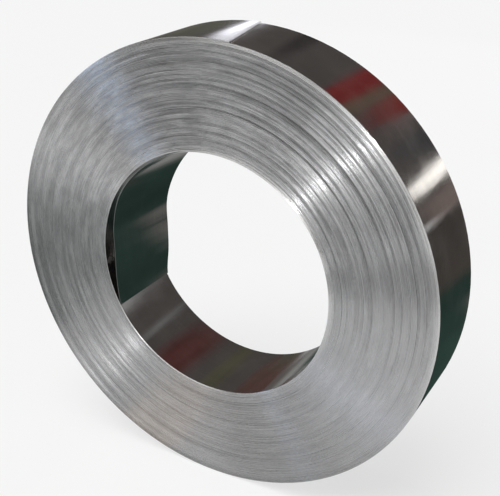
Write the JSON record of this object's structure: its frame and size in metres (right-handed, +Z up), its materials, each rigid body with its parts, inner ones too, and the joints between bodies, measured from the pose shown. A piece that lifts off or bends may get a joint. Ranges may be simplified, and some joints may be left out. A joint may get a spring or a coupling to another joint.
{
  "type": "slit strip steel coil",
  "caption": "Narrow steel strip wound into a flat coil that stands on its rim, with a round open bore, a free inner end and a cut outer end.",
  "frame": {"origin": "on the floor under the middle of the coil, where it stands on its rim", "axes": "+Y along the winding axis from the front end to the back end, +Z up, +X to the right as the front end is seen"},
  "size_m": [0.5516, 0.1056, 0.5519],
  "materials": {
    "steel": "bright cold-rolled strip: mirror-like on its rolled faces, satin on its slit edges"
  },
  "bodies": {
    "root": {"strip_coil": "steel"}
  },
  "joints": []
}
